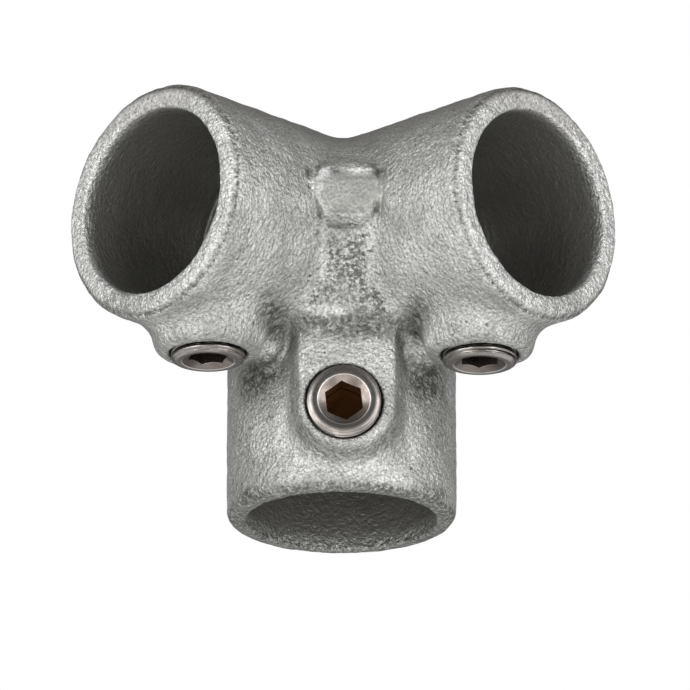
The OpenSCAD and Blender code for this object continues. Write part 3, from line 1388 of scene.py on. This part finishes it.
@dataclass(frozen=True)
class GalvanisedFinish:
    """Hot-dip zinc on a rough sand casting: pale grey, grainy, with dark pits, painted shade in its hollows,
    bores, screw holes, on its top and in shaded spots, and painted highlights.

    A span maps values between its first two numbers to its last two, or else to 0 and 1. A noise
    is its scale, detail and roughness.
    """

    effects: SharedEffects
    pale: Colour = (0.50, 0.50, 0.478, 1)
    dull: Colour = (0.36, 0.36, 0.340, 1)
    # Tone of the painted shade in hollows
    hollow: Colour = (0.20, 0.20, 0.18, 1)
    pit: Colour = (0.10, 0.098, 0.085, 1)
    # Painted shade inside the bores
    inner: Colour = (0.17, 0.165, 0.15, 1)
    # Painted shadow in the screw holes' gaps
    black: Colour = (0.012, 0.011, 0.008, 1)
    # Painted shade with dirt specks
    grime: Colour = (0.17, 0.17, 0.15, 1)
    # Painted highlight
    fresh: Colour = (0.88, 0.88, 0.86, 1)
    # Painted shade on the top, which is also the pad's smoother tone
    smooth: Colour = (0.30, 0.288, 0.262, 1)
    metallic: float = 0.35
    grain_scale: float = 1250.0
    patch_scale: float = 110.0
    grain_height: float = 0.0006
    ragged_noise: Span = (1150.0, 4.0, 0.7)
    mottle_noise: Span = (640.0, 4.0, 0.7)
    stray_noise: Span = (680.0, 3.0, 0.6)
    wrinkle_noise: Span = (420.0, 3.0, 0.6)
    wrinkle_squeeze: float = 2.6
    wrinkle_depths: Span = (1.0, 1.0, 0.55)
    patch_span: Span = (0.35, 0.65)
    worn_span: Span = (0.36, 0.5, 0.35, 1.0)
    sink_span: Span = (0.08, 0.85)
    speckle_span: Span = (0.3, 0.7, 0.66, 1.3)
    pad_speckle_span: Span = (0, 1, 1.0, 0.45)
    coarse_span: Span = (0.36, 0.64, 1.24, 0.62)
    mottle_span: Span = (0.36, 0.62, 0.3, 1.0)
    pit_span: Span = (0.3, 0.7, 0.8, 1.15)
    stray_span: Span = (0.66, 0.70, 0.0, 0.9)
    gloss_span: Span = (0.3, 0.7, 0.46, 0.31)
    wide_share: float = 0.75
    pit_amount: float = 0.60
    pad_smooth: float = 0.25
    top_quiet: float = 0.75
    bore_quiet: float = 0.6
    pad_quiet: float = 0.6

    def wrinkles(self, board: NodeBoard, where: Output) -> Output:
        """Height of wrinkles that run round each socket: noise squeezed along that tube's axis.

        Args:
            board: the material's nodes.
            where: Object coordinates.

        Returns:
            The height, blended by how much the surface belongs to each socket.
        """
        eighth = math.pi / 4
        turns = ((0, 0, -eighth), (0, 0, eighth), (0, -2 * eighth, 0))
        heights = []
        for share, turn, depth in zip(board.painted("flow"), turns, self.wrinkle_depths):
            turned = board.add("Mapping", {"Vector": where, "Rotation": turn}, vector_type="POINT")
            squeezed = board.vector_math("MULTIPLY", turned.outputs[0], (self.wrinkle_squeeze, 1, 1))
            height = board.noise(squeezed.outputs[0], *self.wrinkle_noise)
            heights.append(board.times(height, board.times(share, depth)))
        return board.math("ADD", board.math("ADD", *heights[:2]), heights[2])

    def material(self) -> bpy.types.Material:
        """Builds the material.

        Returns:
            The finished material.
        """
        material = bpy.data.materials.new("hot_dip_zinc")
        board = NodeBoard.of(material)
        where = board.where()
        near, wide, hole = board.painted("hollows")
        pits, hidden, calm = board.painted("places")
        dirty, fresh, even = board.painted("marks")
        height, fleck, patch = self.effects.grain(board, where, self.grain_scale, self.patch_scale)
        ragged = board.noise(where, *self.ragged_noise)
        tone = board.mix(board.span(patch, *self.patch_span), self.dull, self.pale)
        # Painted shade: the top turns darker and warmer; the pad's face takes part of the same smoother tone
        tone = board.mix(board.most(calm, board.times(even, self.pad_smooth)), tone, self.smooth)
        # Painted highlights in the bright ovals and on the rails' rims, broken up by ragged noise
        worn = board.times(fresh, board.span(ragged, *self.worn_span))
        tone = board.mix(worn, tone, self.fresh)
        # Painted shade: hollows darken towards the hollow tone
        sink = board.most(near, board.times(wide, self.wide_share))
        tone = board.mix(board.span(sink, *self.sink_span), tone, self.hollow)
        speckle = board.span(fleck, *self.speckle_span)
        tone = board.mix(board.span(even, *self.pad_speckle_span), tone, speckle, "MULTIPLY")
        tone = board.mix(pits, tone, board.span(ragged, *self.coarse_span), "MULTIPLY")
        mottle = board.span(board.noise(where, *self.mottle_noise), *self.mottle_span)
        # Painted shade, mottled into dirt specks, in the shaded ovals, the rim lines, the post's mouth and
        # the boss's side wall
        tone = board.mix(board.times(dirty, mottle), tone, self.grime, "MULTIPLY")
        uneven = board.times(pits, board.span(patch, *self.pit_span))
        uneven = board.times(uneven, board.math("SUBTRACT", 1.0, fresh))
        tone = board.mix(self.effects.dirt(board, uneven, ragged, self.pit_amount), tone, self.pit)
        stray = board.span(board.noise(where, *self.stray_noise), *self.stray_span)
        # Stray dark pits, then painted shade inside the bores, then painted shadow, black, in the screw
        # holes' gaps
        for share, colour in ((stray, self.pit), (hidden, self.inner), (hole, self.black)):
            tone = board.mix(share, tone, colour)
        quiet = board.most(board.times(calm, self.top_quiet), board.times(hidden, self.bore_quiet))
        quiet = board.most(quiet, board.times(even, self.pad_quiet))
        height = board.math("ADD", self.wrinkles(board, where), height)
        height = board.times(height, board.math("SUBTRACT", 1.0, quiet))
        board.surface(board.add("BsdfPrincipled", {
            "Base Color": tone,
            "Metallic": self.metallic,
            "Roughness": board.span(patch, *self.gloss_span),
            "Normal": board.bump(height, self.grain_height, 1.0),
        }))
        return material


@dataclass(frozen=True)
class ScrewSteelFinish:
    """Turned steel of a slightly warm grey, with fine rings, painted shade in the hexagon, the countersink,
    the thread's valleys and on a flat ring, and a painted highlight at the countersink's edge.

    The rings' places are shares of the screw's radius.
    """

    effects: SharedEffects
    bright: Colour = (0.34, 0.315, 0.295, 1)
    worn: Colour = (0.23, 0.21, 0.195, 1)
    # Painted shade in the thread's valleys
    sunk: Colour = (0.05, 0.045, 0.04, 1)
    # Painted shade in the hexagon and the countersink
    bottom: Colour = (0.056, 0.022, 0.007, 1)
    # Painted shade on the flat ring of the end face
    dark_ring: Colour = (0.74, 0.74, 0.74, 1)
    # Painted highlight at the countersink's edge
    polished: Colour = (0.62, 0.59, 0.57, 1)
    flat_ring: Span = (0.725, 0.84)
    sink_edge: Span = (0.705, 0.715)
    ring_blur: float = 0.01
    patch_span: Span = (0.35, 0.65)
    gloss_span: Span = (0.3, 0.7, 0.34, 0.24)
    dirt_amount: float = 1.1
    grain_scale: float = 900.0
    patch_scale: float = 260.0
    grain_height: float = 0.00003
    grain_strength: float = 0.6
    ring_count: float = 260.0
    ring_height: float = 0.12

    def band(self, board: NodeBoard, radius: Output, inner: float, outer: float) -> Output:
        """Mask of a ring on the screw, from its inner to its outer share of the radius."""
        rise = board.span(radius, inner, inner + self.ring_blur)
        return board.times(rise, board.span(radius, outer, outer - self.ring_blur))

    def material(self) -> bpy.types.Material:
        """Builds the material, or finds it when an earlier screw has made it.

        Returns:
            The finished material.
        """
        name = "turned_screw_steel"
        if name in bpy.data.materials:
            return bpy.data.materials[name]
        material = bpy.data.materials.new(name)
        board = NodeBoard.of(material)
        where = board.where()
        grime, sunk, radius = board.painted("wear")
        height, fleck, patch = self.effects.grain(board, where, self.grain_scale, self.patch_scale)
        tone = board.mix(board.span(patch, *self.patch_span), self.worn, self.bright)
        # Painted shade in the thread's valleys, broken into specks
        tone = board.mix(self.effects.dirt(board, sunk, fleck, self.dirt_amount), tone, self.sunk)
        # Painted shade on the flat ring
        tone = board.mix(self.band(board, radius, *self.flat_ring), tone, self.dark_ring, "MULTIPLY")
        # Painted highlight: a thin bright ring at the countersink's edge
        edge = self.band(board, radius, self.sink_edge[0] - self.ring_blur, self.flat_ring[0])
        # Painted shade in the hexagon and the countersink, left off the painted highlight at the
        # countersink's edge
        tone = board.mix(board.times(grime, board.math("SUBTRACT", 1.0, edge)), tone, self.bottom)
        tone = board.mix(edge, tone, self.polished)
        rings = board.math("SINE", board.times(radius, self.ring_count))
        height = board.math("MULTIPLY_ADD", rings, self.ring_height, height)
        board.surface(board.add("BsdfPrincipled", {
            "Base Color": tone,
            "Metallic": 1.0,
            "Roughness": board.span(patch, *self.gloss_span),
            "Normal": board.bump(height, self.grain_height, self.grain_strength),
        }))
        return material


@dataclass(frozen=True)
class SoftBox:
    """A square studio lamp that looks at the fitting, placed by its angles from it.

    Attributes:
        name: name of the lamp.
        turn: angle round the fitting from its front, in degrees, to the right positive.
        lift: angle above the level, in degrees.
        away: distance in metres.
        size: width in metres.
        watts: power.
        mirrored: whether gloss shows it.
    """

    name: str
    turn: float
    lift: float
    away: float
    size: float
    watts: float
    mirrored: bool = True


@dataclass
class Studio:
    """Camera, lamps, world and floor.

    Attributes:
        target: crossing of the tube axes, in metres.
        turn: the camera's angle round the fitting from its front, in degrees.
        lift: the camera's angle above the level, in degrees.
        away: distance from the camera to the crossing, in metres.
        lens: focal length in millimetres.
        sensor: width of the camera's sensor in millimetres.
        aim_right: how far right of the crossing the picture's centre lies, in metres.
        aim_up: how far above the crossing it lies, in metres.
        floor_fade: shares of the floor's radius between which it fades into the white.
        card_turns: number of points round the ball that the cards are cut from.
        card_lifts: the ball's lowest and highest lift, in degrees, and the points between them.
        card_behind: turn and lift past which the card behind the fitting stands, in degrees.
        card_above: lift past which the card above it hangs.
        card_strip: half the turn and the lowest lift of the strip between the lamps.
    """

    target: Vector
    turn: float = -1.01
    lift: float = -18.83
    away: float = 2.0
    lens: float = 452.9
    sensor: float = 36.0
    clip: tuple[float, float] = (0.05, 50.0)
    aim_right: float = 0.00078
    aim_up: float = -0.01836
    floor_r: float = 1.6
    floor_hub_r: float = 0.02
    floor_rings: int = 24
    floor_spokes: int = 96
    floor_drop: float = 0.0004
    floor_tone: Colour = (0.8, 0.8, 0.8, 1)
    floor_glow: float = 0.45
    floor_fade: tuple[float, float] = (0.25, 0.95)
    fill: float = 0.5
    card_r: float = 1.5
    card_tone: float = 0.17
    card_turns: int = 73
    card_lifts: tuple[float, float, int] = (-60, 90, 31)
    card_behind: tuple[float, float] = (100, -25)
    card_above: float = 35
    card_strip: tuple[float, float] = (22, 0)
    boxes: tuple[SoftBox, ...] = (
        SoftBox("left_box", -44, 2, 1.2, 0.85, 7.5),
        SoftBox("right_box", 43, 0, 1.2, 0.85, 7.0),
        SoftBox("low_box", 0, -42, 1.3, 0.9, 4.0),
        SoftBox("back_fill", 180, 12, 1.2, 0.7, 9.0, False),
    )

    def place(self, item: bpy.types.Object, turn: float, lift: float, away: float) -> None:
        """Puts a camera or lamp at a distance from the target and points it there.

        Args:
            item: the camera or lamp.
            turn: angle round the fitting from its front, in degrees.
            lift: angle above the level, in degrees.
            away: distance in metres.
        """
        spin = Matrix.Rotation(math.radians(turn), 4, "Z")
        pose = spin @ Matrix.Rotation(math.radians(90 - lift), 4, "X")
        back = pose.to_3x3() @ Vector((0, 0, 1))
        item.matrix_world = Matrix.Translation(self.target + back * away) @ pose
        bpy.context.scene.collection.objects.link(item)

    def build_camera(self) -> None:
        """Makes the camera at the photograph's viewing angle."""
        data = bpy.data.cameras.new("view")
        data.lens = self.lens
        data.sensor_width = self.sensor
        data.clip_start, data.clip_end = self.clip
        camera = bpy.data.objects.new("view", data)
        self.place(camera, self.turn, self.lift, self.away)
        camera.matrix_world = camera.matrix_world @ Matrix.Translation((self.aim_right, self.aim_up, 0))
        bpy.context.scene.camera = camera

    def build_lamps(self) -> None:
        """Makes the soft boxes."""
        for box in self.boxes:
            data = bpy.data.lights.new(box.name, "AREA")
            data.shape = "SQUARE"
            data.size = box.size
            data.energy = box.watts
            lamp = bpy.data.objects.new(box.name, data)
            lamp.visible_glossy = box.mirrored
            self.place(lamp, box.turn, box.lift, box.away)

    def build_world(self) -> None:
        """Makes a world that is white to the camera and to gloss, and gives a softer fill light."""
        world = bpy.data.worlds.new("studio")
        board = NodeBoard.of(world)
        path = board.add("LightPath").outputs
        seen = board.most(path["Is Camera Ray"], path["Is Glossy Ray"])
        seen = board.most(seen, path["Is Transmission Ray"])
        strength = board.span(seen, 0, 1, self.fill, 1)
        light = board.add("Background", {"Color": (1, 1, 1, 1), "Strength": strength})
        board.surface(light, "World")
        bpy.context.scene.world = world

    def build_floor(self) -> None:
        """Makes a pale round floor that fades into the white and is clear from below."""
        angle = np.arange(self.floor_spokes) * 2 * math.pi / self.floor_spokes
        radii = np.linspace(self.floor_hub_r, self.floor_r, self.floor_rings) / MM
        ring = np.stack([np.cos(angle), np.sin(angle), 0 * angle], axis=-1)
        points = (radii[:, None, None] * ring).reshape(-1, 3) - [0, 0, self.floor_drop / MM]
        faces, index, _ = ring_faces(len(radii), len(angle))
        floor = mesh_object("studio_floor", points, faces, index[0][None])
        material = bpy.data.materials.new("pale_floor")
        board = NodeBoard.of(material)
        out = board.vector_math("LENGTH", board.where()).outputs["Value"]
        start, end = self.floor_fade
        fade = board.span(out, start * self.floor_r, end * self.floor_r)
        under = board.add("NewGeometry").outputs["Backfacing"]
        matt = board.add("BsdfDiffuse", {"Color": self.floor_tone})
        seen = board.add("LightPath").outputs["Is Camera Ray"]
        glow = board.add("Emission", {"Strength": board.times(seen, self.floor_glow)})
        pale = board.add("AddShader", {0: matt.outputs[0], 1: glow.outputs[0]})
        clear = board.add("BsdfTransparent")
        layers = {0: board.most(fade, under), 1: pale.outputs[0], 2: clear.outputs[0]}
        board.surface(board.add("MixShader", layers))
        floor.data.materials.append(material)
        floor.visible_shadow = False
        floor.visible_diffuse = False
        floor.visible_glossy = False

    def build_cards(self) -> None:
        """Makes the grey cards round the fitting, as the parts of a ball that they cover.

        They stand behind it, above it and in a strip in front between the lamps, so that metal
        shows them at its edges. The camera doesn't see them and they cast no shadow.
        """
        turn = np.radians(np.linspace(-180, 180, self.card_turns))
        lift = np.radians(np.linspace(*self.card_lifts))
        grid_turn, grid_lift = np.meshgrid(turn, lift, indexing="ij")
        level = np.cos(grid_lift)
        ball = [np.sin(grid_turn) * level, -np.cos(grid_turn) * level, np.sin(grid_lift)]
        points = (np.stack(ball, axis=-1) * self.card_r + np.array(self.target)) / MM
        index = np.arange(grid_turn.size).reshape(grid_turn.shape)
        faces = np.stack([index[:-1, :-1], index[:-1, 1:], index[1:, 1:], index[1:, :-1]], axis=-1)
        middle_turn = np.abs(np.degrees(grid_turn[:-1, :-1] + grid_turn[1:, 1:]) / 2)
        middle_lift = np.degrees(grid_lift[:-1, :-1] + grid_lift[1:, 1:]) / 2
        behind = (middle_turn > self.card_behind[0]) & (middle_lift > self.card_behind[1])
        strip = (middle_turn < self.card_strip[0]) & (middle_lift > self.card_strip[1])
        covered = behind | (middle_lift > self.card_above) | strip
        cards = mesh_object("grey_cards", points.reshape(-1, 3), faces[covered])
        material = bpy.data.materials.new("grey_card")
        board = NodeBoard.of(material)
        board.surface(board.add("Emission", {"Color": (1, 1, 1, 1), "Strength": self.card_tone}))
        cards.data.materials.append(material)
        cards.visible_camera = False
        cards.visible_shadow = False

    def build(self) -> None:
        """Sets up the whole studio."""
        for step in (
            self.build_camera, self.build_lamps, self.build_world, self.build_cards, self.build_floor
        ):
            step()
        bpy.context.scene.view_settings.view_transform = "Standard"


def main() -> None:
    """Builds the studio, the casting and the screws, and reports each piece."""
    logging.basicConfig(level=logging.INFO, format="%(name)s: %(message)s")
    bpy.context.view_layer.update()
    record = frame["record"]
    casting = CornerCasting.from_frame(record)
    Studio(target=Vector((0, 0, casting.reach * MM))).build()
    effects = SharedEffects()
    zinc = GalvanisedFinish(effects)
    steel = ScrewSteelFinish(effects)
    casting.build()
    casting.dress(zinc)
    LOG.info("%s: %d faces", casting.piece.name, len(casting.piece.data.polygons))
    for station in Station:
        screw = SetScrew.from_frame(record, station)
        screw.build()
        screw.dress(steel)
        LOG.info("%s: %d faces", screw.piece.name, len(screw.piece.data.polygons))


if __name__ == "__main__":
    main()
